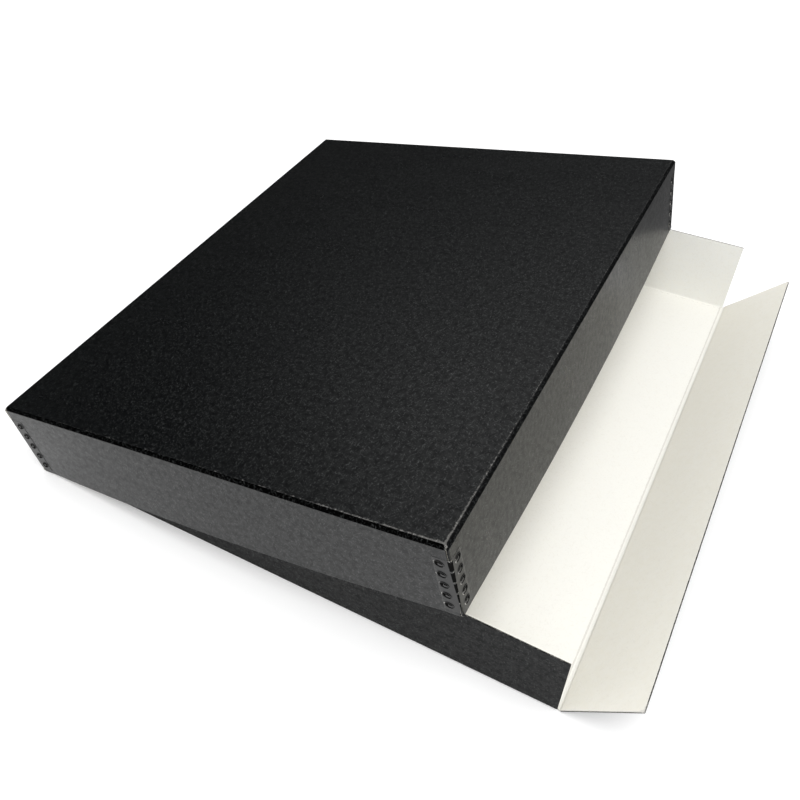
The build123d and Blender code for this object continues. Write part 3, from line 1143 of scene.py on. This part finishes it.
# One step of the strip, with a prong on each wing, is repeated up the corner.
strip_tree, nodes, given, result = node_group(
    "strip_of_prongs", "GeometryNodeTree",
    {"Step": "Geometry", "Prongs": "Int", "Pitch": "Float", "Paint": "Material", "Pits": "Material"},
    {"Strip": "Geometry"},
)
line = nodes.new("GeometryNodeMeshLine")
rise = nodes.new("ShaderNodeCombineXYZ")
repeat = nodes.new("GeometryNodeInstanceOnPoints")
realize = nodes.new("GeometryNodeRealizeInstances")
weld = nodes.new("GeometryNodeMergeByDistance")
weld.inputs["Distance"].default_value = 2e-6
pits = nodes.new("GeometryNodeMaterialSelection")
steel_only = nodes.new("FunctionNodeBooleanMath")
steel_only.operation = "NOT"
paint = nodes.new("GeometryNodeSetMaterial")
joined(
    nodes,
    (given["Prongs"], line.inputs["Count"]),
    (given["Pitch"], rise.inputs["Z"]),
    (rise.outputs["Vector"], line.inputs["Offset"]),
    (line.outputs["Mesh"], repeat.inputs["Points"]),
    (given["Step"], repeat.inputs["Instance"]),
    (repeat.outputs["Instances"], realize.inputs["Geometry"]),
    (realize.outputs["Geometry"], weld.inputs["Geometry"]),
    (weld.outputs["Geometry"], paint.inputs["Geometry"]),
    (given["Pits"], pits.inputs["Material"]),
    (pits.outputs["Selection"], steel_only.inputs[0]),
    (steel_only.outputs[0], paint.inputs["Selection"]),
    (given["Paint"], paint.inputs["Material"]),
    (paint.outputs["Geometry"], result["Strip"]),
)

stay_pattern = put("stay_pattern", stay_step)
strip_modifier = stay_pattern.modifiers.new("strip", "NODES")
strip_modifier.node_group = strip_tree
strip_values = {"Prongs": stay_teeth, "Pitch": stay_pitch, "Paint": painted_steel, "Pits": painted_hole_shade}
for socket in strip_tree.interface.items_tree:
    if socket.name in strip_values:
        strip_modifier[socket.identifier] = strip_values[socket.name]
strip_mesh = bpy.data.meshes.new_from_object(
    stay_pattern.evaluated_get(bpy.context.evaluated_depsgraph_get())
)
bpy.data.objects.remove(stay_pattern)
stay_shell = bmesh.new()
stay_shell.from_mesh(strip_mesh)
open_ends = [e for e in stay_shell.edges if e.is_boundary]
bmesh.ops.holes_fill(stay_shell, edges=open_ends, sides=0)
bmesh.ops.recalc_face_normals(stay_shell, faces=stay_shell.faces)
for face in stay_shell.faces:
    face.smooth = True
# The slots along the bend close up towards the free edge, where the corner is squeezed harder.
strip_wear_light = stay_shell.verts.layers.float["wear_light"]
for vertex in stay_shell.verts:
    x, y, z = vertex.co
    to_edge = max(0, 1 - (z / stay_pitch + 0.5) / stay_teeth)
    if x < board and y < board:
        run = (math.atan2(board - x, board - y) - math.radians(45)) * board
        stand = math.hypot(board - x, board - y) - board
    else:
        run = (bend_half + max(x, y) - board) * (1 if y > x else -1)
        stand = -min(x, y)
    if abs(run) < bend_half + slot_side + 0.0001:
        opening = slot_squeezed + (1 - slot_squeezed) * to_edge ** 1.2
        vertex.co.x, vertex.co.y = round_bend(run * opening, stand)
        # The top of the bend is marked as paint gone to bare steel: bare metal, and a painted highlight on
        # the strip's cut end.
        if to_edge > 0.99 and abs(run) < bend_half:
            vertex[strip_wear_light] = 2.0
stay_shell.to_mesh(strip_mesh)
stay_shell.free()
strip_mesh.set_sharp_from_angle(angle=math.radians(40))


def corner_places(width, length):
    """Where an upright tray's four outside corners stand, turned so that its walls run along +X and +Y."""
    x, y = width / 2, length / 2
    return {
        "back_left": Matrix.Translation((-x, -y, 0)),
        "front_left": Matrix.Translation((x, -y, 0)) @ Matrix.Rotation(math.radians(90), 4, "Z"),
        "front_right": Matrix.Translation((x, y, 0)) @ Matrix.Rotation(math.radians(180), 4, "Z"),
        "back_right": Matrix.Translation((-x, y, 0)) @ Matrix.Rotation(math.radians(270), 4, "Z"),
    }


tray_corners = corner_places(tray_width, tray_length)
lid_corners = corner_places(lid_width, lid_length)
for node, body, corner, height in (
    ("base_left_stay", "tray", tray_corners["back_left"], tray_wall_height),
    ("base_right_stay", "tray", tray_corners["back_right"], tray_wall_height),
    ("lid_front_left_stay", "lid", lid_stand @ lid_corners["front_right"], lid_depth),
    ("lid_front_right_stay", "lid", lid_stand @ lid_corners["front_left"], lid_depth),
    ("lid_back_left_stay", "lid", lid_stand @ lid_corners["back_right"], lid_depth),
    ("lid_back_right_stay", "lid", lid_stand @ lid_corners["back_left"], lid_depth),
):
    first_prong = height - stay_inset - (stay_teeth - 0.5) * stay_pitch
    stay_mesh = strip_mesh.copy()
    stay_mesh.transform(corner @ Matrix.Translation((0, 0, first_prong)))
    stay = put(node.replace("_stay", "_steel_stay"), stay_mesh)
    if body == "lid":
        settle(stay)
    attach(stay, body)
    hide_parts(node)
